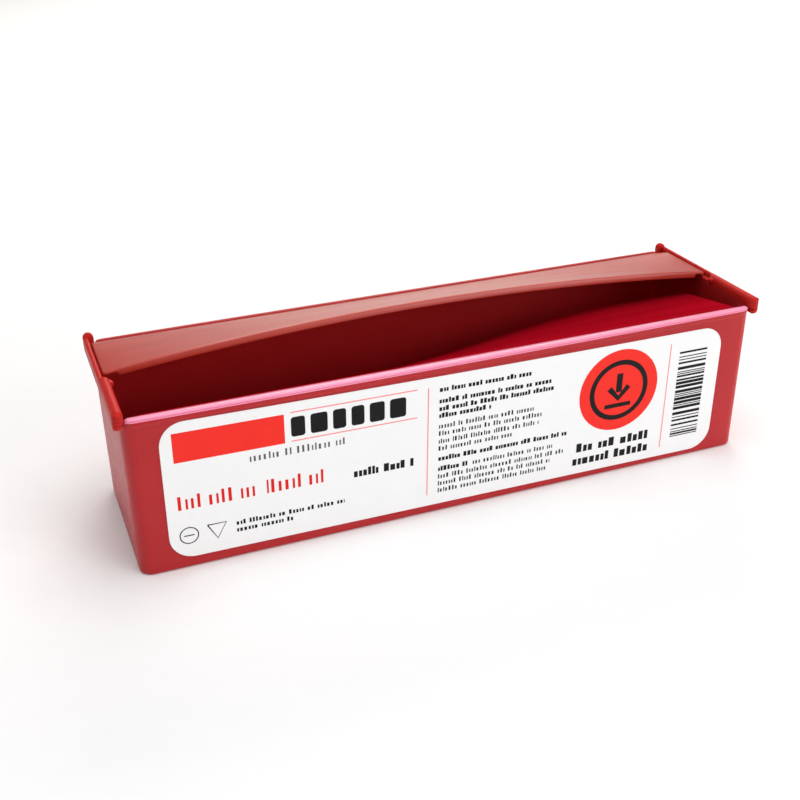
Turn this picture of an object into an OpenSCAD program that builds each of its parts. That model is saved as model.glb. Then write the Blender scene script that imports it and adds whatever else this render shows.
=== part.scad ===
// Benchtop sharps container: an open moulded tub whose mouth is covered by two
// overlapping flaps. Each flap swings on a hinge rail along one long rim, and
// a lipped end rail is clipped over each short wall.
// The origin is the middle of the flat base, X runs along the length, Z is up.

/* [Tub] */
// Outside length of the tub
tub_l = 179.6; // [150:0.1:210]
// Outside width of the tub at the rim
tub_w = 48.8; // [46:0.1:56]
// Height of the moulded wall, up to the underside of the back rail
tub_h = 44.9; // [44.3:0.1:70]
// How much lower the front rim is than the back one
front_rim_drop = 0.8; // [0:0.1:1]
// Thickness of the side and end walls
wall = 1.1; // [0.9:0.1:1.2]
// Thickness of the floor
floor_t = 1.6; // [1.2:0.1:3]
// How much narrower the base is than the rim, on each side
draft = 0.2; // [0:0.1:1]
// Radius of the upright corners
corner_r = 3.5; // [3:0.5:4]
// Radius of the edge round the base
base_r = 0.8; // [0.4:0.1:2]
// Radius between the inside walls and the floor
inner_base_r = 1.2; // [0.4:0.1:1.8]
// How far the front wall bows outward at mid-length
front_bow = 0.6; // [0:0.1:0.6]
// How far the back wall bows outward at mid-length
back_bow = 0.3; // [0:0.1:0.6]
// Height of the thickened band under the rim
band_h = 1.1; // [0.6:0.1:1.6]
// How far the band and the rails stand proud of the wall
band_proud = 0.3; // [0.1:0.05:0.3]

/* [Hinge rails] */
// Height of each hinge rail above the wall
rail_h = 1.1; // [0.8:0.1:1.2]
// Distance from the rim's outer face to the inner face of the rail
rail_w = 1.25; // [1:0.05:1.25]

/* [Flaps] */
// Thickness of both flaps
flap_t = 0.8; // [0.6:0.1:0.8]
// Distance from the rim's outer face to the hinge axis
hinge_inset = 2; // [2:0.1:3]
// How far the front flap reaches past the middle of the tub when it is level
front_past = 3.2; // [0:0.1:3.4]
// Distance from each end of the tub to the end of the front flap
front_end_gap = 4.7; // [2.4:0.1:10]
// How far the back flap reaches past the middle of the tub when it is level
back_past = 2.8; // [0:0.1:3]
// How far each end of the back flap reaches past the tub's end
back_over = 0; // [0:0.05:0.3]
// Slope of the front flap at its right end, in degrees
front_slope = 10.4; // [5:0.1:20]
// Further twist of the front flap towards its left end, in degrees
front_twist = 17; // [0:0.5:25]
// Rise of the back flap at its two ends, in degrees
back_rise = 0; // [0:0.1:3]
// Further rise of the back flap at mid-length, in degrees
back_arch = 17; // [0:0.5:18]
// How far the back flap's ends step up behind the hinge, onto their seats
back_step = 1.1; // [1.1:0.05:1.4]
// How much shorter the back flap reaches at its two ends
back_crown = 1.8; // [0:0.1:2.5]
// Depth of the lip under the back flap's free edge
lip_h = 1.9; // [1:0.1:2.5]
// Thickness of that lip
lip_t = 0.9; // [0.6:0.1:1.5]
// Clearance kept between a flap and the parts that it passes
gap = 0.3; // [0.3:0.05:0.5]

/* [End rails] */
// How far each end rail stands out past the end of the tub
end_proud = 1.7; // [1.6:0.1:4]
// How far the tips of the end rails stand out past the rim, on each side
end_side = 0.9; // [0.9:0.1:3]
// Height of the top of the end rails above the tub's wall
end_rise = 3; // [2.8:0.1:4]
// How far the outer leg hangs below the top of the wall
end_drop = 2.1; // [1:0.1:6]
// How much lower the strip beside the back flap is than the rolled front part
strip_drop = 0.4; // [0:0.1:0.6]
// How much higher the knob behind is than the rolled front part
knob_rise = 0.4; // [0:0.1:0.6]
// Place, along the width, where the seat for the back flap begins
seat_start = -3.9; // [-6:0.1:-3.5]

/* [Label] */
// Length of the label
label_l = 161.6; // [80:0.1:165]
// Height of the label
label_h = 39.2; // [20:0.1:39.2]
// Height of the label's centre
label_z = 22.1; // [21.5:0.1:22.5]
// Distance of the label's centre from the middle of the wall
label_x = -0.7; // [-3:0.1:3]
// Turn of the label on the wall, in degrees
label_turn = -0.5; // [-0.6:0.1:0.6]
// Corner radius of the label
label_r = 6.5; // [1:0.5:8]
// Thickness of the label
label_t = 0.12; // [0.1:0.01:0.2]

/* [Hidden] */

corner_steps = 8;
side_steps = 16;
flap_steps = 24;
step_points = 4;
round_points = 5;
ball_fn = 32;
eps = 0.01;

half_l = tub_l / 2;
half_w = tub_w / 2;
rail_top = tub_h + rail_h;
rail_end_gap = 0.2;
rail_l = tub_l - 2 * (wall + rail_end_gap);
hinge_y = half_w - hinge_inset;
front_reach = hinge_y + front_past;
back_reach = hinge_y + back_past;
front_l = tub_l - 2 * front_end_gap;
back_l = tub_l + 2 * back_over;
front_hinge_drop = 0.2;
front_hinge_z = rail_top - front_rim_drop - flap_t / 2 - front_hinge_drop;
back_hinge_z = rail_top - flap_t / 2;
front_corner_r = 3;
back_corner_r = 1.2;
twist_start = 61.5;
twist_span = 80.3;
arch_power = 0.7;
crown_power = 6;
step_run = 4;
lip_setback = 3.7;
lip_l = back_l - 2 * lip_setback;
bead_h = 0.15;
// Distances from each end of the back flap to its outer sections
end_sections = [0, 0.04, 0.14, 0.36, 0.72, 1.2, 2.2, 3.4];

end_x = half_l + end_proud;
end_top = tub_h + end_rise;
end_bottom = tub_h - end_drop;
end_tip_y = half_w + end_side;
end_inner_x = half_l - wall;
end_seat_x = back_l / 2 + gap;
seat_top = rail_top;
seat_end = hinge_y - step_run - 1;
end_round = 0.85;
end_cap = 0.8;
cap_inset = 0.35;
knob_start = half_w - wall - rail_end_gap;
catch_w = 1.7;
catch_y = -5.7;
catch_out = 0.7;
catch_root = 0.1;
catch_foot = tub_h + 0.4;
catch_low = tub_h + 1.6;
catch_high = tub_h + 2.1;
catch_top = tub_h + 2.5;

tub_red = "#b32a2c";
flap_red = "#c2504a";
rail_red = "#c43a3c";
label_white = "#f2f2f0";

// Points of a quarter circle that starts at angle a0
function quarter(cx, cy, r, a0) =
    [for (i = [0:corner_steps])
        let (a = a0 + 90 * i / corner_steps)
        [cx + r * cos(a), cy + r * sin(a)]];

// Points of a long side that bows by b in the middle; s is its side, -1 or 1
function long_side(s, x_end, y_side, b) =
    [for (i = [1:side_steps - 1])
        let (u = 2 * i / side_steps - 1)
        [-s * u * x_end, s * (y_side + b * (1 - u * u))]];

// Outline of the tub at rim height, grown outward by g
function rim_outline(g) =
    let (
        cx = half_l - corner_r,
        cy = half_w - corner_r,
        r = corner_r + g,
        y_side = half_w + g
    )
    concat(
        quarter(-cx, -cy, r, 180),
        long_side(-1, cx, y_side, front_bow),
        quarter(cx, -cy, r, 270),
        quarter(cx, cy, r, 0),
        long_side(1, cx, y_side, back_bow),
        quarter(-cx, cy, r, 90)
    );

// Foot of one upright corner: a disc of radius r with its lower edge rounded by e
module corner_foot(r, e) {
    rotate_extrude($fn = ball_fn)
        polygon(concat(
            [[0, e], [0, 0]],
            [for (i = [0:corner_steps])
                let (a = 270 + 90 * i / corner_steps)
                [r - e + e * cos(a), e + e * sin(a)]]
        ));
}

// Solid with the tub's shape, grown outward by g, from height base up to height top
module tub_form(g, base, top, e) {
    cx = half_l - draft - corner_r;
    cy = half_w - draft - corner_r;
    hull() {
        for (sx = [-1, 1])
            for (sy = [-1, 1])
                translate([sx * cx, sy * cy, base])
                    corner_foot(corner_r + g, e);
        translate([0, 0, top - eps])
            linear_extrude(height = eps)
                polygon(rim_outline(g));
    }
}

// Height of the wall's top under the rail on side s, -1 or 1
function rim_level(s) = s < 0 ? tub_h - front_rim_drop : tub_h;

// Flat area over one long rim that its rail takes up; s is its side
module rail_zone(s) {
    inner_y = half_w - rail_w;
    translate([-rail_l / 2, s > 0 ? inner_y : -inner_y - corner_r])
        square([rail_l, corner_r]);
}

// Thickened band that stiffens one long rim; s is its side
module rim_band(s) {
    translate([0, 0, rim_level(s) - band_h])
        linear_extrude(height = band_h)
            intersection() {
                difference() {
                    polygon(rim_outline(band_proud));
                    polygon(rim_outline(-wall / 2));
                }
                translate([0, s * half_w])
                    square([rail_l, 2 * corner_r], center = true);
            }
}

module tub() {
    color(tub_red) {
        difference() {
            tub_form(0, 0, tub_h, base_r);
            tub_form(-wall, floor_t, tub_h + 1, inner_base_r);
            translate([0, 0, rim_level(-1)])
                linear_extrude(height = front_rim_drop + 1)
                    rail_zone(-1);
        }
        rim_band(-1);
        rim_band(1);
    }
}

// Rail that is snapped on one long rim and carries a flap; s is its side
module hinge_rail(s) {
    color(rail_red)
        translate([0, 0, rim_level(s)])
            linear_extrude(height = rail_h)
                intersection() {
                    polygon(rim_outline(band_proud));
                    rail_zone(s);
                }
}

module front_hinge_rail() {
    hinge_rail(-1);
}

module back_hinge_rail() {
    hinge_rail(1);
}

// Smooth step from 0 to 1
function ease(u) =
    let (v = min(max(u, 0), 1))
    v * v * (3 - 2 * v);

// Slope of the front flap at x: even on the right, pressed down on the left
function front_tilt(x) = -front_slope - front_twist * ease((twist_start - x) / twist_span);

// How far along the back flap's arch x is: 1 at mid-length, 0 at the two ends
function crest(x) = max(cos(180 * x / back_l), 0);

// Rise of the back flap at x: an even arch along its whole length
function back_tilt(x) = back_rise + back_arch * pow(crest(x), arch_power);

// Reach of the back flap at x, before its corners are rounded
function crowned(x) = back_reach - back_crown * pow(abs(2 * x / back_l), crown_power);

// Lift of the back flap at x, at the distance d from its hinge
function step_up(x, d) = back_step * (1 - crest(x)) * ease(d / step_run);

// Place of flap station i, closer together near the two ends
function station(i, l) = -l / 2 * cos(180 * i / flap_steps);

// Reach of a flap at x, with its free corners rounded by r
function flap_reach(x, l, reach, r) =
    let (d = min(l / 2 - abs(x), r))
    reach - r + sqrt(max(r * r - (r - d) * (r - d), 0));

// Section of a plain flap: round at its hinge, square at its free edge
function plain_section(reach) =
    let (h = flap_t / 2)
    concat(
        [for (a = [90:30:270]) [h * cos(a), h * sin(a)]],
        [[reach, -h], [reach, h]]
    );

// Depth of the back flap's free edge at x: a lip, and a low bead beyond its ends
function edge_depth(x) = abs(x) < lip_l / 2 + eps ? lip_h : flap_t + bead_h;

// Section of the back flap at x, which steps up behind its hinge and ends in its lip
function lipped_section(x, reach) =
    let (
        h = flap_t / 2,
        foot = h - edge_depth(x),
        root = reach - lip_t,
        runs = [for (i = [1:step_points]) i * step_run / step_points]
    )
    concat(
        [for (i = [step_points - 1:-1:0]) [runs[i], step_up(x, runs[i]) + h]],
        [for (i = [0:round_points - 1])
            let (a = 90 + 180 * i / (round_points - 1))
            [h * cos(a), h * sin(a)]],
        [for (d = runs) [d, step_up(x, d) - h]],
        [
            [root, step_up(x, root) - h], [root, step_up(x, root) + foot],
            [reach, step_up(x, reach) + foot], [reach, step_up(x, reach) + h]
        ]
    );

// Turns a section by the angle a and puts it at station x
function placed(section, x, a) =
    [for (p = section)
        [x, p[0] * cos(a) - p[1] * sin(a), p[0] * sin(a) + p[1] * cos(a)]];

// Closed skin over equal sections that follow each other along X. The pieces in caps,
// given by point numbers of a section, are convex and together close each end
module skin(sections, caps) {
    n = len(sections[0]);
    m = len(sections);
    points = [for (s = sections) for (p = s) p];
    sides = [for (i = [0:m - 2]) for (j = [0:n - 1])
        let (k = (j + 1) % n)
        each [
            [i * n + j, (i + 1) * n + k, i * n + k],
            [i * n + j, (i + 1) * n + j, (i + 1) * n + k]
        ]];
    last = [for (c = caps) [for (j = [len(c) - 1:-1:0]) (m - 1) * n + c[j]]];
    polyhedron(points = points, faces = concat(caps, sides, last), convexity = 6);
}

module front_flap() {
    xs = [for (i = [0:flap_steps]) station(i, front_l)];
    color(flap_red)
        translate([0, -hinge_y, front_hinge_z])
            skin(
                [for (x = xs)
                    placed(
                        plain_section(flap_reach(x, front_l, front_reach, front_corner_r)),
                        x,
                        front_tilt(x)
                    )],
                [[for (j = [0:8]) j]]
            );
}

module back_flap() {
    half = back_l / 2;
    xs = concat(
        [for (d = end_sections) d - half],
        [for (i = [0:flap_steps]) station(i, lip_l)],
        [for (i = [len(end_sections) - 1:-1:0]) half - end_sections[i]]
    );
    foot = step_points + round_points;
    bottom = foot + step_points - 1;
    step_caps = [for (i = [1:step_points - 1])
        [step_points - 1 - i, step_points - i, foot + i - 1, foot + i]];
    root_cap = [for (j = [step_points - 1:foot]) j];
    sheet_cap = [0, bottom, bottom + 1, bottom + 4];
    lip_cap = [for (j = [bottom + 1:bottom + 4]) j];
    color(flap_red)
        translate([0, hinge_y, back_hinge_z])
            mirror([0, 1, 0])
                skin(
                    [for (x = xs)
                        placed(
                            lipped_section(
                                x, flap_reach(x, back_l, crowned(x), back_corner_r)
                            ),
                            x,
                            back_tilt(x)
                        )],
                    concat([root_cap, sheet_cap, lip_cap], step_caps)
                );
}

// Outline of the end rail's outer leg and rounded top, from x0 outward
function leg_outline(x0, inset, drop) =
    let (
        r = min(end_round, (end_x - x0) / 2) - inset / 2,
        lo = end_bottom + inset,
        hi = end_top - drop - inset,
        x1 = end_x - inset
    )
    concat(
        [[half_l, lo]],
        quarter(x1 - r, lo + r, r, 270),
        quarter(x1 - r, hi - r, r, 0),
        quarter(x0 + inset + r, hi - r, r, 90),
        [[x0 + inset, tub_h], [half_l, tub_h]]
    );

// Stretch of an end rail from y0 to y1, with its inner face at x0
module rail_stretch(x0, y0, y1, inset, drop = 0) {
    translate([0, y1, 0])
        rotate([90, 0, 0])
            linear_extrude(height = y1 - y0)
                polygon(leg_outline(x0, inset, drop));
}

// Rail over the right short wall: a seat behind, a full rolled lip in front
module right_rail() {
    tip = end_tip_y;
    rail_stretch(end_inner_x, -tip + end_cap, seat_start, 0);
    rail_stretch(end_seat_x, seat_start - eps, knob_start + eps, 0, strip_drop);
    translate([end_inner_x, seat_start - eps, tub_h])
        cube([end_x - end_round - end_inner_x, seat_end - seat_start, seat_top - tub_h]);
    rail_stretch(end_inner_x, knob_start, tip - end_cap, 0, -knob_rise);
    rail_stretch(end_inner_x, -tip, -tip + end_cap + eps, cap_inset);
    rail_stretch(end_inner_x, tip - end_cap - eps, tip, cap_inset, -knob_rise);
    translate([end_inner_x, catch_y, 0])
        rotate([90, 0, 0])
            linear_extrude(height = catch_w, center = true)
                polygon([
                    [catch_root, catch_foot], [-catch_out, catch_low],
                    [-catch_out, catch_high], [catch_root, catch_top]
                ]);
}

module right_end_rail() {
    color(rail_red)
        right_rail();
}

module left_end_rail() {
    color(rail_red)
        mirror([1, 0, 0])
            right_rail();
}

// Printed label that lies on the front wall
module front_label() {
    color(label_white)
        difference() {
            intersection() {
                tub_form(label_t, -label_t, tub_h, base_r + label_t);
                translate([label_x, -half_w / 2, label_z])
                    rotate([90, -label_turn, 0])
                        linear_extrude(height = half_w)
                            offset(r = label_r)
                                square(
                                    [label_l - 2 * label_r, label_h - 2 * label_r],
                                    center = true
                                );
            }
            tub_form(0, 0, tub_h, base_r);
        }
}

tub();
front_hinge_rail();
back_hinge_rail();
front_flap();
back_flap();
right_end_rail();
left_end_rail();
front_label();
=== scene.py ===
import math
import random

import bmesh
import bpy
from mathutils import Matrix, Vector


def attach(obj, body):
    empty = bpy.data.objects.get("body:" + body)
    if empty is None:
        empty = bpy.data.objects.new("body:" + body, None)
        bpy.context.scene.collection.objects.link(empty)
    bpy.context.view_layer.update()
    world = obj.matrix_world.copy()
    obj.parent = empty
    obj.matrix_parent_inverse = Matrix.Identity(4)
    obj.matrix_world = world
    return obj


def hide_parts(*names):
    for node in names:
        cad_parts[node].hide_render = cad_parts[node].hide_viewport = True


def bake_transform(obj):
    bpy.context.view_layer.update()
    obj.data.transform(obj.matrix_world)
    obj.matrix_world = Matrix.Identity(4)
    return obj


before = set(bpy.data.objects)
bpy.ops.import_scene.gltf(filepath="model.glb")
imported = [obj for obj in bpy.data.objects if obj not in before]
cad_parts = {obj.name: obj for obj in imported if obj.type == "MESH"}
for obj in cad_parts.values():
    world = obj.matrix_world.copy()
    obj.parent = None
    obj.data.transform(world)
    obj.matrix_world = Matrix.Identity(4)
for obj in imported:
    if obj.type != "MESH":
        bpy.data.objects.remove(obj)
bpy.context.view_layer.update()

# Lengths below are in millimetres unless a name says otherwise.
MM = 0.001

# ---------------------------------------------------------------- dimensions
HALF_L = 89.8
HALF_W = 24.4
TUB_H = 44.9
WALL = 1.1
FLOOR_T = 1.6
DRAFT = 0.2
CORNER_R = 3.5
BASE_R = 0.8
INNER_BASE_R = 1.2
FRONT_BOW = 0.6
BACK_BOW = 0.3
BAND_H = 1.1
BAND_PROUD = 0.3
RAIL_TOP = 46.0
FRONT_DROP = 0.8
RAIL_INNER_Y = HALF_W - 1.25
RAIL_HALF_L = HALF_L - WALL - 0.2

FLAP_T = 0.8
HINGE_Y = 22.4
FRONT_HINGE_Z = 44.6
BACK_HINGE_Z = 45.6
FRONT_REACH = 25.6
FRONT_HALF_L = 85.1
FRONT_CORNER_R = 3.0
BACK_REACH = 25.2
BACK_HALF_L = 89.8
BACK_CORNER_R = 1.2
BACK_ARCH = 17.0
BACK_STEP = 1.1
STEP_RUN = 4.0
BACK_CROWN = 1.8
LIP_H = 1.9
LIP_T = 0.9
LIP_HALF_L = 86.1

END_X = HALF_L + 1.7
END_INNER_X = HALF_L - WALL
STRIP_X = BACK_HALF_L + 0.35
END_TIP_Y = 25.3
END_TOP = 47.9
STRIP_DROP = 0.4
SEAT_TOP = RAIL_TOP
SEAT_END = HINGE_Y - STEP_RUN - 1
END_BOTTOM = 42.8
SEAT_START = -3.9
KNOB_RISE = 0.4
KNOB_R = 0.85
TIP_R = 1.3
KNOB_START = 23.1
CATCH_Y = -5.7

LABEL_X = -0.7
LABEL_Z = 22.1
LABEL_TURN = math.radians(-0.545)
LABEL_HALF_L = 80.8
LABEL_HALF_H = 19.6
LABEL_R = 6.5
LABEL_T = 0.12
LABEL_COLUMNS = 64
LABEL_ROWS = 32
INK_T = 0.03


def lerp(a, b, t):
    return a + (b - a) * t


def ease(u):
    v = min(max(u, 0.0), 1.0)
    return v * v * (3 - 2 * v)


# ------------------------------------------------------------- mesh building
def add_mesh(name, verts, faces, material, smooth=35.0):
    """Object made from vertices in millimetres, smooth except at sharp folds."""
    mesh = bpy.data.meshes.new(name)
    mesh.from_pydata([Vector(v) * MM for v in verts], [], faces)
    bm = bmesh.new()
    bm.from_mesh(mesh)
    bmesh.ops.remove_doubles(bm, verts=bm.verts, dist=1e-7)
    bmesh.ops.recalc_face_normals(bm, faces=bm.faces)
    bm.to_mesh(mesh)
    bm.free()
    for polygon in mesh.polygons:
        polygon.use_smooth = True
    mesh.set_sharp_from_angle(angle=math.radians(smooth))
    mesh.materials.append(material)
    obj = bpy.data.objects.new(name, mesh)
    bpy.context.scene.collection.objects.link(obj)
    return obj


def loft(rings):
    """Vertices and faces of a closed skin over equal rings, capped at both ends."""
    n = len(rings[0])
    verts = [p for ring in rings for p in ring]
    faces = []
    for i in range(len(rings) - 1):
        for j in range(n):
            k = (j + 1) % n
            faces.append((i * n + j, i * n + k, (i + 1) * n + k, (i + 1) * n + j))
    faces.append(tuple(range(n)))
    faces.append(tuple((len(rings) - 1) * n + j for j in range(n)))
    return verts, faces


# ----------------------------------------------------------------- materials
def new_material(name):
    material = bpy.data.materials.new(name)
    material.use_nodes = True
    nodes = material.node_tree.nodes
    shader = nodes["Principled BSDF"]
    return material, nodes, material.node_tree.links, shader


def noise(nodes, links, coords, scale, detail, stretch=(1, 1, 1)):
    """Noise over the object's own coordinates; stretch draws it out along an axis."""
    mapping = nodes.new("ShaderNodeMapping")
    mapping.inputs["Scale"].default_value = stretch
    links.new(coords, mapping.inputs["Vector"])
    tex = nodes.new("ShaderNodeTexNoise")
    tex.inputs["Scale"].default_value = scale
    tex.inputs["Detail"].default_value = detail
    links.new(mapping.outputs["Vector"], tex.inputs["Vector"])
    return tex.outputs["Fac"]


def remap(nodes, links, value, low, high):
    """Spreads the middle of a noise over the range from low to high."""
    node = nodes.new("ShaderNodeMapRange")
    node.inputs["From Min"].default_value = 0.3
    node.inputs["From Max"].default_value = 0.7
    node.inputs["To Min"].default_value = low
    node.inputs["To Max"].default_value = high
    links.new(value, node.inputs["Value"])
    return node.outputs["Result"]


SHEEN_CORE = 0.012  # metres from mid-length: painted sheen in full within the first, and no painted sheen beyond the second
SHEEN_END = 0.082  # and not pale at all beyond the second


def painted_sheen_middle(nodes, links, coords, colour, sheen_colour):
    """Painted sheen: blends a paler colour into another one towards the middle of the object's
    length, on its upper side, standing in for a reflection there."""
    split = nodes.new("ShaderNodeSeparateXYZ")
    links.new(coords, split.inputs["Vector"])
    facing = nodes.new("ShaderNodeSeparateXYZ")
    links.new(coords.node.outputs["Normal"], facing.inputs["Vector"])
    upper = nodes.new("ShaderNodeMapRange")
    upper.inputs["From Min"].default_value = 0.55
    upper.inputs["From Max"].default_value = 0.80
    links.new(facing.outputs["Z"], upper.inputs["Value"])
    size = nodes.new("ShaderNodeMath")
    size.operation = "ABSOLUTE"
    links.new(split.outputs["X"], size.inputs[0])
    fade = nodes.new("ShaderNodeMapRange")
    fade.interpolation_type = "SMOOTHSTEP"
    fade.inputs["From Min"].default_value = SHEEN_CORE
    fade.inputs["From Max"].default_value = SHEEN_END
    fade.inputs["To Min"].default_value = 1.0
    fade.inputs["To Max"].default_value = 0.0
    links.new(size.outputs["Value"], fade.inputs["Value"])
    share = nodes.new("ShaderNodeMath")
    share.operation = "MULTIPLY"
    links.new(fade.outputs["Result"], share.inputs[0])
    links.new(upper.outputs["Result"], share.inputs[1])
    blend = nodes.new("ShaderNodeMix")
    blend.data_type = "RGBA"
    blend.inputs[7].default_value = (*sheen_colour, 1)
    links.new(share.outputs["Value"], blend.inputs[0])
    links.new(colour, blend.inputs[6])
    return blend.outputs[2]


def plastic(name, light, dark, rough, grain, streak, specular=0.5, seep=0.0, sheen_colour=None,
            gloss=0.0):
    """Moulded polypropylene: faint flow clouds, uneven gloss, fine skin, drawn streaks.
    seep is how much light the thin walls let through; the colour given for a sheet's middle is a
    painted sheen, painted paler on its upper side towards mid-length, where it is arched most; and
    gloss is a clear polished skin."""
    material, nodes, links, shader = new_material(name)
    coords = nodes.new("ShaderNodeTexCoord").outputs["Object"]
    clouds = noise(nodes, links, coords, 38, 3, (0.5, 1, 1))
    streaks = noise(nodes, links, coords, 90, 4, (0.06, 5, 5))
    skin = noise(nodes, links, coords, 2600, 2)

    tone = nodes.new("ShaderNodeMix")
    tone.data_type = "RGBA"
    tone.inputs[6].default_value = (*dark, 1)
    tone.inputs[7].default_value = (*light, 1)
    links.new(remap(nodes, links, clouds, 0, 1), tone.inputs[0])
    drawn = nodes.new("ShaderNodeMix")
    drawn.data_type = "RGBA"
    drawn.inputs[7].default_value = (*[min(1, c * 1.22 + 0.012) for c in light], 1)
    links.new(remap(nodes, links, streaks, 0, streak), drawn.inputs[0])
    links.new(tone.outputs[2], drawn.inputs[6])
    colour = drawn.outputs[2]
    if sheen_colour:
        colour = painted_sheen_middle(nodes, links, coords, colour, sheen_colour)
    links.new(colour, shader.inputs["Base Color"])

    links.new(remap(nodes, links, streaks, rough[0], rough[1]), shader.inputs["Roughness"])

    fine = nodes.new("ShaderNodeBump")
    fine.inputs["Strength"].default_value = grain
    fine.inputs["Distance"].default_value = 0.00004
    links.new(skin, fine.inputs["Height"])
    drag = nodes.new("ShaderNodeBump")
    drag.inputs["Strength"].default_value = 0.5 * streak
    drag.inputs["Distance"].default_value = 0.00012
    links.new(streaks, drag.inputs["Height"])
    links.new(fine.outputs["Normal"], drag.inputs["Normal"])
    links.new(drag.outputs["Normal"], shader.inputs["Normal"])

    shader.inputs["Coat Weight"].default_value = gloss
    shader.inputs["Coat Roughness"].default_value = 0.30
    shader.inputs["Specular IOR Level"].default_value = specular
    shader.inputs["Subsurface Weight"].default_value = seep
    shader.inputs["Subsurface Radius"].default_value = (1.0, 0.05, 0.04)
    shader.inputs["Subsurface Scale"].default_value = 0.0022
    return material


def printed(name, ink, spread, rough):
    """Paper or ink: a little mottled, with a fine tooth."""
    material, nodes, links, shader = new_material(name)
    coords = nodes.new("ShaderNodeTexCoord").outputs["Object"]
    mottle = noise(nodes, links, coords, 160, 4)
    tooth = noise(nodes, links, coords, 3800, 2)
    tone = nodes.new("ShaderNodeMix")
    tone.data_type = "RGBA"
    tone.inputs[6].default_value = (*[c * (1 - spread) for c in ink], 1)
    tone.inputs[7].default_value = (*ink, 1)
    links.new(remap(nodes, links, mottle, 0, 1), tone.inputs[0])
    links.new(tone.outputs[2], shader.inputs["Base Color"])
    links.new(remap(nodes, links, mottle, rough - 0.05, rough + 0.05), shader.inputs["Roughness"])
    bump = nodes.new("ShaderNodeBump")
    bump.inputs["Strength"].default_value = 0.12
    bump.inputs["Distance"].default_value = 0.00002
    links.new(tooth, bump.inputs["Height"])
    links.new(bump.outputs["Normal"], shader.inputs["Normal"])
    shader.inputs["Specular IOR Level"].default_value = 0.12
    return material


TUB_RED = plastic("tub_polypropylene", (0.49, 0.018, 0.022), (0.44, 0.013, 0.017),
                  (0.34, 0.44), 0.10, 0.03, specular=0.28, seep=0.75)
# The back flap's paler middle is painted sheen, a reflection painted into the base colour, not a
# colour of the plastic.
FLAP_RED = plastic("flap_polypropylene", (0.46, 0.040, 0.022), (0.37, 0.018, 0.010),
                   (0.30, 0.46), 0.12, 0.45, specular=0.36, sheen_colour=(0.50, 0.075, 0.045), gloss=0.35)
# The front flap's darker red is painted shade: the same plastic as the back flap, darkened for the
# shade it lies in down inside the mouth.
SHADED_FLAP_RED = plastic("pressed_flap_polypropylene_painted_shade", (0.35, 0.001, 0.009), (0.27, 0.001, 0.006),
                   (0.60, 0.75), 0.12, 0.25, specular=0.0, seep=0.3)
# The front rim bead's pale pink is a painted highlight: the plain red plastic painted as it looks
# under bright light on its rounded top.
RIM_HIGHLIGHT_PINK = plastic("rim_polypropylene_painted_highlight", (0.95, 0.33, 0.50), (0.86, 0.24, 0.38),
                   (0.24, 0.36), 0.08, 0.16, specular=0.5)
RAIL_RED = plastic("rail_polypropylene", (0.46, 0.016, 0.016), (0.38, 0.010, 0.010),
                   (0.34, 0.46), 0.10, 0.10, specular=0.2)
END_RED = plastic("end_rail_polypropylene", (0.54, 0.022, 0.018), (0.47, 0.015, 0.012),
                  (0.36, 0.48), 0.12, 0.10, specular=0.07, seep=0.2)
HINGE_RED = plastic("living_hinge_polypropylene", (0.42, 0.014, 0.016), (0.34, 0.008, 0.010),
                    (0.34, 0.46), 0.10, 0.20, specular=0.1)
PAPER = printed("label_paper", (0.91, 0.91, 0.91), 0.02, 0.42)
INK_BLACK = printed("ink_black", (0.010, 0.010, 0.011), 0.25, 0.40)
INK_RED = printed("ink_red", (0.92, 0.032, 0.022), 0.06, 0.40)
INK_NAME = printed("ink_deep_red", (0.74, 0.012, 0.010), 0.06, 0.40)
INK_PINK = printed("ink_pink", (0.95, 0.26, 0.26), 0.05, 0.40)
INK_GREY = printed("ink_grey", (0.11, 0.11, 0.115), 0.10, 0.40)


# ----------------------------------------------------------------- tub shell
ARC_STEPS = 8
LONG_STEPS = 48
SHORT_STEPS = 8
BASE_STEPS = 7
BAND_FADE = 2.4  # length over which the band sinks back into the wall at its ends
DROP_START = 34  # height above which the front wall is lowered, little by little
DROP_RUN = 8


def outline(cx, cy, r, front_bow, back_bow):
    """Rounded rectangle whose long sides bow outward: points with outward normals."""
    points = []

    def arc(sx, sy, start):
        for i in range(ARC_STEPS + 1):
            a = math.radians(start + 90 * i / ARC_STEPS)
            c, s = math.cos(a), math.sin(a)
            points.append((sx * cx + r * c, sy * cy + r * s, c, s))

    def long_side(side, bow):
        for i in range(1, LONG_STEPS):
            u = 2 * i / LONG_STEPS - 1
            points.append((-side * u * cx, side * (cy + r + bow * (1 - u * u)), 0, side))

    def short_side(side):
        for i in range(1, SHORT_STEPS):
            u = 2 * i / SHORT_STEPS - 1
            points.append((side * (cx + r), side * u * cy, side, 0))

    arc(-1, -1, 180)
    long_side(-1, front_bow)
    arc(1, -1, 270)
    short_side(1)
    arc(1, 1, 0)
    long_side(1, back_bow)
    arc(-1, 1, 90)
    short_side(-1)
    return points


def form_ring(z, grow, base=0.0, edge=BASE_R, proud=0.0):
    """Ring of the tub's form at height z; base is its lowest level, edge the radius round it,
    and proud is how far the rim band stands out."""
    t = max(z - base, 0) / (TUB_H - base)
    h = z - base
    inset = edge - math.sqrt(max(edge * edge - (edge - h) ** 2, 0)) if h < edge else 0.0
    cx = HALF_L - CORNER_R - DRAFT * (1 - t)
    cy = HALF_W - CORNER_R - DRAFT * (1 - t)
    ring = []
    for x, y, nx, ny in outline(cx, cy, CORNER_R + grow - inset, FRONT_BOW * t, BACK_BOW * t):
        out = proud * ease((RAIL_HALF_L + 0.3 - abs(x)) / BAND_FADE) * abs(ny)
        sunk = FRONT_DROP * ease((z - DROP_START) / DROP_RUN) * front_share(x, y)
        ring.append((x + nx * out, y + ny * out, z - sunk))
    return ring


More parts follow.
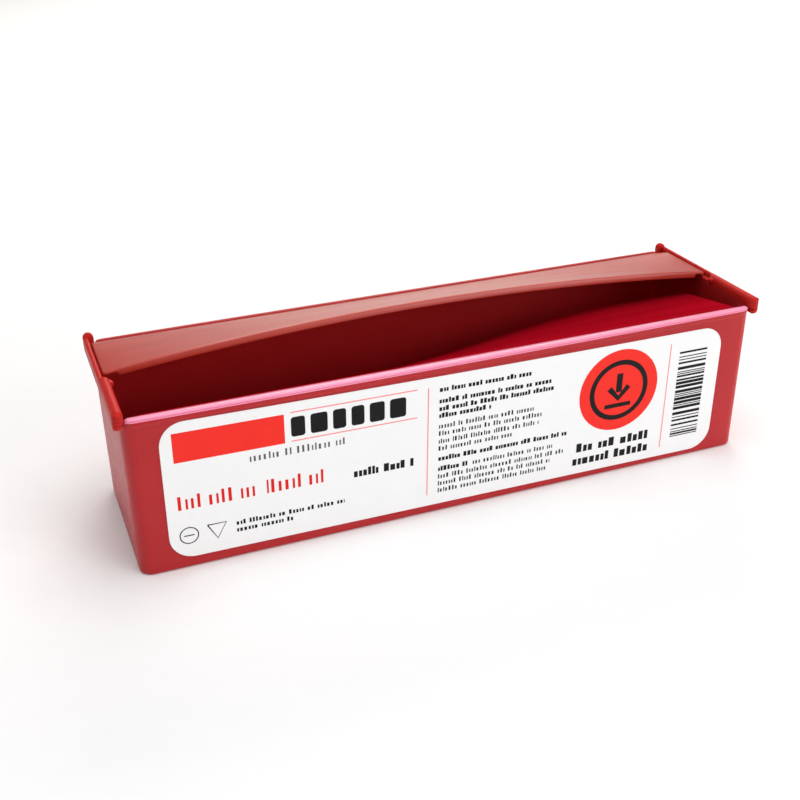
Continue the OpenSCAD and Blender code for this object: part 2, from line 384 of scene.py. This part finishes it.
def front_share(x, y):
    """1 along the front rim, which is lower than the rest, and 0 beyond its ends."""
    return ease((RAIL_HALF_L + 0.25 - abs(x)) / 0.5) if y < 0 else 0.0


def edge_heights(edge, steps):
    """Heights that follow a quarter circle up from the level to the wall."""
    return [edge * (1 - math.cos(math.radians(90 * i / steps))) for i in range(steps + 1)]


def make_tub():
    rings = [form_ring(z, 0.0) for z in edge_heights(BASE_R, BASE_STEPS)]
    band_foot = TUB_H - BAND_H
    for z in (6, 13, 20, 28, 36, 41, band_foot - 0.45):
        rings.append(form_ring(z, 0.0))
    for z, share in ((band_foot - 0.2, 0.12), (band_foot - 0.05, 0.45), (band_foot + 0.1, 0.82),
                     (band_foot + 0.25, 1.0), (TUB_H - 0.16, 1.0), (TUB_H - 0.05, 0.75)):
        rings.append(form_ring(z, 0.0, proud=BAND_PROUD * share))
    rings.append(form_ring(TUB_H, -0.12, proud=BAND_PROUD * 0.5))
    inside = dict(base=FLOOR_T, edge=INNER_BASE_R)
    rings.append(form_ring(TUB_H, -WALL + 0.12, **inside))
    for z in (TUB_H - 0.12, 40, 32, 24, 16, 10, 5):
        rings.append(form_ring(z, -WALL, **inside))
    for h in reversed(edge_heights(INNER_BASE_R, BASE_STEPS)):
        rings.append(form_ring(FLOOR_T + h, -WALL, **inside))
    return add_mesh("tub_shell", *loft(rings), TUB_RED)


# --------------------------------------------------------------- hinge rails
def rim_y(x, side, grow):
    """Distance from the middle plane to the rim's face at x, following its rounded corner."""
    cx = HALF_L - CORNER_R
    bow = FRONT_BOW if side < 0 else BACK_BOW
    r = CORNER_R + grow
    if abs(x) <= cx:
        return HALF_W + grow + bow * (1 - (x / cx) ** 2)
    return HALF_W - CORNER_R + math.sqrt(max(r * r - (abs(x) - cx) ** 2, 0))


RAIL_STEPS = 120
RAIL_TIP_RUN = 0.9  # length over which the bead's ends round down


def make_rail(name, side, material):
    """Bead along one long rim: a rounded top, a thin groove, a slimmer lower bead."""
    drop = FRONT_DROP if side < 0 else 0.0
    low, top = TUB_H - drop, RAIL_TOP - drop
    face = (  # distance in from the outer face, height
        (0.10, low + 0.02), (0.02, low + 0.08), (0.0, low + 0.16), (0.02, low + 0.27),
        (0.12, low + 0.34), (0.26, low + 0.40), (0.26, low + 0.46), (0.12, low + 0.52),
        (0.02, low + 0.60), (0.0, low + 0.70), (0.05, low + 0.84), (0.15, low + 0.95),
        (0.30, low + 1.03), (0.48, low + 1.08), (0.68, top)
    )
    rings = []
    for i in range(RAIL_STEPS + 1):
        x = -RAIL_HALF_L * math.cos(math.pi * i / RAIL_STEPS)
        outer = rim_y(x, side, BAND_PROUD)
        room = min((outer - RAIL_INNER_Y) / (HALF_W + BAND_PROUD - RAIL_INNER_Y), 1.0)
        tip = math.sqrt(max(1 - max(1 - (RAIL_HALF_L - abs(x)) / RAIL_TIP_RUN, 0) ** 2, 0.02))
        room = max(room, 0.12)
        ring = []
        for depth, z in face:
            h = low + (z - low) * (0.35 + 0.65 * tip)
            ring.append((x, side * (outer - depth * room), h))
        h_top = low + (top - low) * (0.35 + 0.65 * tip)
        inner = min(RAIL_INNER_Y, outer - 0.2)
        ring += [(x, side * (inner + 0.12), h_top), (x, side * inner, h_top - 0.12),
                 (x, side * inner, low + 0.02)]
        rings.append(ring)
    return add_mesh(name, *loft(rings), material, 50)


# --------------------------------------------------------------------- flaps
FRONT_SLOPE = 10.4
FRONT_TWIST = 17
TWIST_START = 61.5
TWIST_SPAN = 80.3
ARCH_POWER = 0.7
CROWN_POWER = 6
EDGE_R = 0.34
FLAP_STEPS = 110
WEB_STEPS = 64


def front_tilt(x):
    """Even on the right, pressed down on the left."""
    return math.radians(-FRONT_SLOPE - FRONT_TWIST * ease((TWIST_START - x) / TWIST_SPAN))


def crest(x):
    """1 at mid-length of the back flap's arch, 0 at its ends."""
    return max(math.cos(math.pi * x / (2 * BACK_HALF_L)), 0.0)


def back_tilt(x):
    """Level at the ends, arched up between them."""
    return math.radians(BACK_ARCH * crest(x) ** ARCH_POWER)


def back_step(x, d):
    """Lift of the back flap at x, at the distance d from its hinge, onto the end seats."""
    return BACK_STEP * (1 - crest(x)) * ease(d / STEP_RUN)


def no_step(x, d):
    """A flap with no step at its ends."""
    return 0.0


def flap_reach(x, half_l, reach, r):
    """Reach of a flap at x, shortened by its rounded corners."""
    d = min(half_l - abs(x), r)
    return reach - r + math.sqrt(max(r * r - (r - d) ** 2, 0))


def flap_stations(half_l, steps):
    """Places along the flap, close together near its ends so that they can be rounded."""
    inner = [-(half_l - 0.5) * math.cos(math.pi * i / steps) for i in range(steps + 1)]
    tips = [0.0, 0.03, 0.1, 0.2, 0.34]
    return [-half_l + d for d in tips] + inner + [half_l - d for d in reversed(tips)]


def round_end(x, half_l, r=0.4):
    """Share of the flap's full thickness at x, less at its rounded ends."""
    d = min(half_l - abs(x), r)
    return 0.25 + 0.75 * math.sqrt(max(1 - (1 - d / r) ** 2, 0))


def sheet_section(reach, h, lip):
    """Section of a flap: round at the hinge, rounded free edge, with a lip of that depth."""
    section = [(h * math.cos(math.radians(a)), h * math.sin(math.radians(a)))
               for a in range(270, 89, -20)]
    section += [(d, h) for d in (0.5, 1.0, 1.6, 2.2, 2.8, 3.4, 4.0)]
    section += [(reach * s, h) for s in (0.3, 0.5, 0.7, 0.86, 0.95)]
    e = min(EDGE_R, h * 0.8)
    section += [(reach - e, h), (reach - e * 0.3, h - e * 0.3), (reach, h - e)]
    foot = h - lip
    section += [(reach, foot + 0.25), (reach - 0.08, foot + 0.07), (reach - 0.25, foot)]
    section += [(reach - LIP_T + 0.2, foot), (reach - LIP_T, foot + 0.2 * min(lip, 1))]
    section += [(reach - LIP_T - 0.05, min(-h, foot + lip * 0.6) if lip > 2 * h else -h)]
    section += [(reach * s, -h) for s in (0.9, 0.6, 0.3)]
    section += [(d, -h) for d in (4.0, 3.4, 2.8, 2.2, 1.6, 1.0, 0.5)]
    return section


def make_flap(name, side, half_l, reach, corner_r, hinge_z, tilt, step, crown, lip, material):
    rings = []
    for x in flap_stations(half_l, FLAP_STEPS):
        h = FLAP_T / 2 * round_end(x, half_l)
        r = flap_reach(x, half_l, reach - crown * abs(x / half_l) ** CROWN_POWER, corner_r)
        depth = 2 * h
        if lip:
            depth = lerp(2 * h, LIP_H, ease((LIP_HALF_L + 0.3 - abs(x)) / 0.6))
        a = tilt(x)
        c, s = math.cos(a), math.sin(a)
        section = [(p, q + step(x, p)) for p, q in sheet_section(r, h, depth)]
        rings.append([(x, side * (HINGE_Y - (p * c - q * s)), hinge_z + p * s + q * c)
                      for p, q in section])
    return add_mesh(name, *loft(rings), material, 50)


def make_web(name, side, half_l, hinge_z):
    """Thin living hinge between a rail and the round root of its flap."""
    rings = []
    outer, inner = RAIL_INNER_Y + 0.25, HINGE_Y + 0.05
    for i in range(WEB_STEPS + 1):
        x = lerp(-half_l, half_l, i / WEB_STEPS)
        waist = [(outer, 0.26), (lerp(outer, inner, 0.3), 0.2), (lerp(outer, inner, 0.5), 0.15),
                 (lerp(outer, inner, 0.75), 0.2), (inner, 0.28)]
        ring = [(x, side * y, hinge_z + h) for y, h in waist]
        ring += [(x, side * y, hinge_z - h) for y, h in reversed(waist)]
        rings.append(ring)
    web = add_mesh(name, *loft(rings), HINGE_RED, 60)
    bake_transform(web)
    return web


# ----------------------------------------------------------------- end rails
ROLL_STEPS = 10
TIP_STEPS = 8
RAMP_STEPS = 8
RIDGE_STEPS = 20
RIDGES = 4
RIDGE_START = 43.6
RIDGE_PITCH = 0.95
RIDGE_SLANT = 0.9
RIDGE_R = 0.38
RIDGE_PROUD = 0.2


def rail_profile(x0, shrink, drop, seat):
    """Leg and rolled top of the right end rail in the XZ plane. seat raises a low step
    from the wall's inner face out to x0."""
    x1, hi, lo = END_X - shrink, END_TOP - drop - shrink, END_BOTTOM + shrink
    left = x0 + shrink
    r = (x1 - left) / 2
    foot = min(0.75, r)
    points = [(HALF_L, lo)]
    for i in range(ROLL_STEPS // 2 + 1):
        a = math.radians(lerp(270, 360, i / (ROLL_STEPS // 2)))
        points.append((x1 - foot + foot * math.cos(a), lo + foot + foot * math.sin(a)))
    for i in range(ROLL_STEPS * 2 + 1):
        a = math.radians(180 * i / (ROLL_STEPS * 2))
        points.append((x1 - r + r * math.cos(a), hi - r + r * math.sin(a)))
    top = lerp(TUB_H + 0.02, SEAT_TOP, seat)
    inner = min(left, END_INNER_X + shrink)
    points += [(left, top + 0.05), (left - 0.05 * seat, top), (lerp(left, inner + 0.1, seat), top),
               (inner, lerp(TUB_H + 0.03, top - 0.1, seat)), (inner, TUB_H + 0.02),
               (HALF_L, TUB_H + 0.02)]
    return points


def make_end_rail(name, side):
    """Roll over one end wall: ridged tip in front, low seat for the flap, knob behind."""
    stations = []  # y, inner face, shrink, drop, seat
    for i in range(TIP_STEPS + 1):
        a = math.radians(90 * i / TIP_STEPS)
        stations.append((-END_TIP_Y + TIP_R * (1 - math.cos(a)), END_INNER_X,
                         TIP_R * (1 - math.sin(a)), 0.0, 0.0))
    stations += [(lerp(-END_TIP_Y + 1.0, SEAT_START - 0.5, i / 20), END_INNER_X, 0.0, 0.0, 0.0)
                 for i in range(1, 21)]
    for i in range(1, RAMP_STEPS + 1):
        u = ease(i / RAMP_STEPS)
        stations.append((SEAT_START - 0.5 + i * 0.1, lerp(END_INNER_X, STRIP_X, u), 0.0,
                         STRIP_DROP * u, u))
    stations += [(lerp(SEAT_START + 0.3, SEAT_END - 0.5, i / 16), STRIP_X, 0.0, STRIP_DROP, 1.0)
                 for i in range(1, 17)]
    stations += [(SEAT_END - 0.5 + i * 0.1, STRIP_X, 0.0, STRIP_DROP, 1 - ease(i / 5))
                 for i in range(1, 6)]
    stations += [(lerp(SEAT_END, KNOB_START - 0.2, i / 5), STRIP_X, 0.0, STRIP_DROP, 0.0)
                 for i in range(1, 6)]
    for i in range(1, 8):
        u = ease(i / 7)
        stations.append((KNOB_START - 0.1 + i * 0.08, lerp(STRIP_X, END_INNER_X, u),
                         0.25 * (1 - u), STRIP_DROP * (1 - u) - KNOB_RISE * u, 0.0))
    for i in range(7):
        a = math.radians(90 * i / 6)
        stations.append((END_TIP_Y - KNOB_R * (1 - math.sin(a)), END_INNER_X,
                         KNOB_R * (1 - math.cos(a)), -KNOB_RISE, 0.0))
    rings = [[(side * x, y, z) for x, z in rail_profile(x0, shrink, drop, seat)]
             for y, x0, shrink, drop, seat in stations]
    verts, faces = loft(rings)

    def add(piece):
        v, f = piece
        base = len(verts)
        verts.extend(v)
        faces.extend(tuple(base + k for k in face) for face in f)

    for k in range(RIDGES):
        add(tip_ring(side, RIDGE_START + RIDGE_PITCH * k))
    add(catch_wedge(side))
    return add_mesh(name, verts, faces, END_RED, 45)


def tip_ring(side, height):
    """One slanting ridge round the front tip of an end rail, sunk all but its crest."""
    rings = []
    middle = (END_INNER_X + END_X) / 2
    run = TIP_R - RIDGE_R + RIDGE_PROUD
    for i in range(RIDGE_STEPS + 1):
        u = i / RIDGE_STEPS
        a = math.radians(lerp(15, 165, u))
        x = middle - run * math.cos(a)
        y = -END_TIP_Y + TIP_R - run * math.sin(a)
        z = height + RIDGE_SLANT * u
        size = RIDGE_R * (0.55 + 0.45 * math.sin(math.pi * u))
        ring = []
        for k in range(12):
            b = 2 * math.pi * k / 12
            ring.append((side * (x - size * math.cos(b) * math.cos(a)),
                         y - size * math.cos(b) * math.sin(a), z + size * math.sin(b)))
        rings.append(ring)
    return loft(rings)


def catch_wedge(side):
    """Small wedge on the rail's inner face that the back flap snaps over."""
    rings = []
    for d, grow in ((-0.85, 0.3), (-0.78, 0.75), (-0.6, 1.0), (0.6, 1.0), (0.78, 0.75), (0.85, 0.3)):
        out = 0.7 * grow
        shape = [(0.3, TUB_H + 0.4), (-out * 0.5, TUB_H + 1.0), (-out, TUB_H + 1.5),
                 (-out, TUB_H + 1.9), (-out * 0.5, TUB_H + 2.25), (0.3, TUB_H + 2.4)]
        rings.append([(side * (END_INNER_X + x), CATCH_Y + d, z) for x, z in shape])
    return loft(rings)


# --------------------------------------------------------------------- label
def wall_y(x, z):
    """Distance of the front wall's outer face from the middle plane."""
    t = max(z, 0) / TUB_H
    inset = BASE_R - math.sqrt(max(BASE_R ** 2 - (BASE_R - z) ** 2, 0)) if z < BASE_R else 0.0
    cx = HALF_L - CORNER_R - DRAFT * (1 - t)
    return HALF_W - DRAFT * (1 - t) - inset + FRONT_BOW * t * (1 - min(abs(x) / cx, 1) ** 2)


def on_wall(u, v, proud):
    """Point of the label plane laid on the front wall, that far proud of it."""
    c, s = math.cos(LABEL_TURN), math.sin(LABEL_TURN)
    x, z = LABEL_X + u * c - v * s, LABEL_Z + u * s + v * c
    return (x, -(wall_y(x, z) + proud), z)


def plate(rows, proud, thick):
    """Closed thin plate on the wall from a grid of (u, v) rows."""
    n, m = len(rows), len(rows[0])
    front = [on_wall(u, v, proud + thick) for row in rows for u, v in row]
    back = [on_wall(u, v, proud) for row in rows for u, v in row]
    count = n * m
    faces = []
    for i in range(n - 1):
        for j in range(m - 1):
            a, b, c, d = i * m + j, i * m + j + 1, (i + 1) * m + j + 1, (i + 1) * m + j
            faces.append((a, b, c, d))
            faces.append((count + d, count + c, count + b, count + a))
    border = [j for j in range(m)] + [i * m + m - 1 for i in range(1, n)]
    border += [(n - 1) * m + j for j in range(m - 2, -1, -1)] + [i * m for i in range(n - 2, 0, -1)]
    for k, a in enumerate(border):
        b = border[(k + 1) % len(border)]
        faces.append((a, count + a, count + b, b))
    return front + back, faces


def rounded_rows(u0, u1, v0, v1, r, columns, rows):
    """Grid that fills a rectangle with rounded corners."""
    grid = []
    for i in range(rows + 1):
        v = v0 + (v1 - v0) * (0.5 - 0.5 * math.cos(math.pi * i / rows))
        d = min(v - v0, v1 - v)
        inset = r - math.sqrt(max(r * r - (r - d) ** 2, 0)) if d < r else 0.0
        grid.append([(lerp(u0 + inset, u1 - inset, j / columns), v) for j in range(columns + 1)])
    return grid


class Ink:
    """Collects plates of one colour, proud of the wall, and turns them into one piece."""

    def __init__(self, name, material, proud=LABEL_T):
        self.name, self.material, self.proud = name, material, proud
        self.verts, self.faces = [], []

    def add(self, rows):
        v, f = plate(rows, self.proud, INK_T)
        base = len(self.verts)
        self.verts += v
        self.faces += [tuple(base + k for k in face) for face in f]

    def box(self, u0, u1, v0, v1, r=0.0):
        columns = max(1, round((u1 - u0) / 5))
        rows = max(1, round((v1 - v0) / 5))
        if r:
            self.add(rounded_rows(u0, u1, v0, v1, r, columns, 10))
        else:
            self.add([[(lerp(u0, u1, j / columns), lerp(v0, v1, i / rows))
                       for j in range(columns + 1)] for i in range(rows + 1)])

    def path(self, points, width):
        """Band of that width along points in the label plane."""
        left, right = [], []
        for k, (u, v) in enumerate(points):
            a = points[max(k - 1, 0)]
            b = points[min(k + 1, len(points) - 1)]
            d = math.hypot(b[0] - a[0], b[1] - a[1]) or 1.0
            nu, nv = -(b[1] - a[1]) / d * width / 2, (b[0] - a[0]) / d * width / 2
            left.append((u + nu, v + nv))
            right.append((u - nu, v - nv))
        self.add([left, right])

    def ring(self, cu, cv, r, width, start=0, stop=360):
        steps = 48  # for each half turn
        for half in (0, 1):
            a0 = lerp(start, stop, half / 2)
            a1 = lerp(start, stop, (half + 1) / 2)
            arc = [math.radians(lerp(a0, a1, i / steps)) for i in range(steps + 1)]
            self.path([(cu + r * math.cos(a), cv + r * math.sin(a)) for a in arc], width)

    def disc(self, cu, cv, r):
        rows = []
        for i in range(25):
            v = -math.cos(math.pi * i / 24)
            half = max(math.sqrt(max(1 - v * v, 0)), 0.02)
            rows.append([(cu + r * half * (2 * j / 16 - 1), cv + r * v) for j in range(17)])
        self.add(rows)

    def words(self, rng, u0, u1, base, height, letter, weight=0.8):
        """Line of plain upright strokes with word gaps, which spell nothing."""
        u = u0
        left = rng.randint(3, 7)
        while u < u1 - 0.3 * letter:
            w = min(letter * rng.uniform(0.55, 1.0), u1 - u)
            tall = rng.random() < 0.3
            top = height if tall else height * 0.74
            self.box(u, u + w * weight, base, base + top)
            u += w
            left -= 1
            if left == 0:
                u += letter * 0.62
                left = rng.randint(2, 8)

    def finish(self):
        piece = add_mesh(self.name, self.verts, self.faces, self.material, 40)
        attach(piece, "tub_body")
        return piece


def make_label():
    grid = rounded_rows(-LABEL_HALF_L, LABEL_HALF_L, -LABEL_HALF_H, LABEL_HALF_H, LABEL_R,
                        LABEL_COLUMNS, LABEL_ROWS)
    verts, faces = plate(grid, 0.0, LABEL_T)
    sheet = add_mesh("label_sheet", verts, faces, PAPER, 40)
    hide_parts("front_label")
    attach(sheet, "tub_body")


def make_print():
    rng = random.Random(5)
    red = Ink("print_red", INK_RED)
    black = Ink("print_black", INK_BLACK)
    name_red = Ink("print_deep_red", INK_NAME)
    pink = Ink("print_pink", INK_PINK)
    grey = Ink("print_grey", INK_GREY)

    # Heading: a coloured block, a row of solid blocks and two fine rules
    red.box(-77.7, -49.5, 8.35, 16.6)
    u = -47.8
    for w in (4.6, 5.4, 4.4, 4.4, 5.0, 5.4):
        black.box(u, u + w - 0.9, 9.8, 15.4, 0.7)
        u += w + 0.55
    pink.box(-47.8, -13.6, 16.65, 16.95)
    pink.box(-47.8, -13.6, 8.45, 8.75)
    grey.words(rng, -58.8, -32.8, 4.9, 2.0, 1.5, 0.4)

    # Name line, item line, small symbols and notes
    name_red.words(rng, -77.8, -57.0, -5.3, 4.0, 2.0, 0.42)
    name_red.words(rng, -54.9, -38.9, -5.3, 4.0, 2.0, 0.42)
    black.words(rng, -31.4, -24.3, -5.8, 2.4, 1.7, 0.74)
    black.words(rng, -23.0, -14.3, -5.8, 2.4, 2.1, 0.78)
    black.ring(-75.7, -13.1, 2.35, 0.28)
    black.box(-77.0, -74.4, -13.25, -12.95)
    black.path([(-70.9, -11.2), (-66.0, -11.2), (-68.45, -15.6), (-70.9, -11.2)], 0.32)
    black.words(rng, -63.4, -34.0, -12.9, 1.35, 1.15, 0.62)
    black.words(rng, -63.4, -48.1, -15.0, 1.35, 1.15, 0.62)

    # Text column between the two upright rules
    pink.box(-10.65, -10.35, -16.2, 16.7)
    pink.box(63.55, 63.85, -16.6, 16.6)
    for base, stop in ((15.0, 19.8), (11.6, 26.0), (9.3, 27.8), (7.2, 8.0)):
        black.words(rng, -7.3, stop, base, 1.45, 1.2, 0.74)
    for base, stop in ((4.0, 21.3), (1.8, 23.8), (-0.6, 22.9), (-2.8, 15.7)):
        black.words(rng, -7.3, stop, base, 1.4, 1.1, 0.5)
    black.words(rng, -7.3, 32.9, -6.0, 1.45, 1.2, 0.74)
    black.words(rng, -7.3, 1.9, -9.2, 1.45, 1.2, 0.74)
    black.words(rng, 3.0, 27.8, -9.2, 1.4, 1.1, 0.5)
    for base, stop in ((-11.6, 31.5), (-13.8, 27.2), (-16.0, 26.4)):
        black.words(rng, -7.3, stop, base, 1.4, 1.1, 0.5)

    # Disc with a plain "drop in here" mark lying on it, and two caption lines of strokes
    cu, cv = 47.7, 5.2
    red.disc(cu, cv, 12.6)
    mark = Ink("print_mark", INK_BLACK, LABEL_T + INK_T)
    mark.ring(cu, cv, 8.6, 1.5)
    mark.box(cu - 0.95, cu + 0.95, cv - 0.6, cv + 5.2)
    mark.path([(cu - 3.1, cv + 0.9), (cu, cv - 2.6), (cu + 3.1, cv + 0.9)], 1.7)
    mark.box(cu - 4.2, cu + 4.2, cv - 5.4, cv - 4.1)
    mark.finish()
    black.words(rng, 35.5, 60.3, -12.6, 2.8, 2.6, 0.74)
    black.words(rng, 34.6, 61.0, -16.8, 2.8, 2.4, 0.74)

    # Bar stack with made-up widths and no digits
    v = -14.0
    while v < 14.0:
        bar = rng.choice((0.3, 0.3, 0.6, 0.9))
        black.box(66.9, 76.2, v, min(v + bar, 14.2))
        v += bar + rng.choice((0.3, 0.3, 0.6, 0.9))

    for ink in (red, black, name_red, pink, grey):
        ink.finish()


# ------------------------------------------------------------------ assembly
def place(piece, body, slot, *nodes):
    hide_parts(*nodes)
    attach(piece, body)


place(make_tub(), "tub_body", "tub", "tub")
place(make_rail("front_rim_bead", -1, RIM_HIGHLIGHT_PINK), "tub_body", "hinge_rails", "front_hinge_rail")
place(make_rail("back_rim_bead", 1, RAIL_RED), "tub_body", "hinge_rails", "back_hinge_rail")
place(make_flap("front_cover_flap", -1, FRONT_HALF_L, FRONT_REACH, FRONT_CORNER_R,
                FRONT_HINGE_Z, front_tilt, no_step, 0.0, False, SHADED_FLAP_RED),
      "front_flap_body", "flaps", "front_flap")
place(make_flap("back_cover_flap", 1, BACK_HALF_L, BACK_REACH, BACK_CORNER_R,
                BACK_HINGE_Z, back_tilt, back_step, BACK_CROWN, True, FLAP_RED),
      "back_flap_body", "flaps", "back_flap")
make_web("front_living_hinge", -1, FRONT_HALF_L - 0.6, FRONT_HINGE_Z)
make_web("back_living_hinge", 1, RAIL_HALF_L - 0.8, BACK_HINGE_Z)
place(make_end_rail("right_end_roll", 1), "tub_body", "end_rails", "right_end_rail")
place(make_end_rail("left_end_roll", -1), "tub_body", "end_rails", "left_end_rail")
make_label()
make_print()

# -------------------------------------------------------------------- camera
CAMERA_AT = Vector((-113.02, -267.76, 171.28)) * MM
YAW = math.radians(21.16)
PITCH = math.radians(27.27)
ROLL = math.radians(0.785)
LENS = 51.07


def make_camera():
    forward = Vector((math.sin(YAW) * math.cos(PITCH), math.cos(YAW) * math.cos(PITCH),
                      -math.sin(PITCH)))
    right = Vector((math.cos(YAW), -math.sin(YAW), 0))
    down = forward.cross(right)
    across = right * math.cos(ROLL) + down * math.sin(ROLL)
    up = right * math.sin(ROLL) - down * math.cos(ROLL)
    turn = Matrix((across, up, -forward)).transposed()
    data = bpy.data.cameras.new("studio_camera")
    data.lens = LENS
    data.sensor_width = 36
    data.clip_start, data.clip_end = 0.01, 20
    camera = bpy.data.objects.new("studio_camera", data)
    camera.matrix_world = Matrix.Translation(CAMERA_AT) @ turn.to_4x4()
    bpy.context.scene.collection.objects.link(camera)
    bpy.context.scene.camera = camera


def make_floor():
    size = 3.0
    floor = add_mesh("studio_floor",
                     [(-size / MM, -size / MM, -0.02), (size / MM, -size / MM, -0.02),
                      (size / MM, size / MM, -0.02), (-size / MM, size / MM, -0.02)],
                     [(0, 1, 2, 3)], printed("floor_paint", (0.93, 0.93, 0.93), 0.01, 0.7))


def area_light(name, at, target, size, power, colour=(1, 1, 1)):
    data = bpy.data.lights.new(name, "AREA")
    data.shape = "RECTANGLE"
    data.size, data.size_y = size
    data.energy = power
    data.color = colour
    light = bpy.data.objects.new(name, data)
    light.location = at
    light.rotation_mode = "QUATERNION"
    light.rotation_quaternion = (Vector(target) - Vector(at)).to_track_quat("-Z", "Y")
    bpy.context.scene.collection.objects.link(light)


def make_world():
    world = bpy.data.worlds.new("studio")
    world.use_nodes = True
    background = world.node_tree.nodes["Background"]
    background.inputs["Color"].default_value = (1, 1, 1, 1)
    background.inputs["Strength"].default_value = 0.36
    bpy.context.scene.world = world


make_camera()
make_floor()
make_world()
area_light("overhead", (0.1, -0.1, 1.3), (0, 0, 0), (1.4, 1.4), 13)
area_light("key", (0.7, -1.0, 0.42), (0, 0, 0.02), (0.8, 0.6), 6.2)
area_light("back", (0.42, 1.05, 0.62), (0.0, 0, 0.04), (0.7, 0.4), 5.0, (1.0, 0.95, 0.88))
bpy.context.scene.view_settings.view_transform = "Standard"
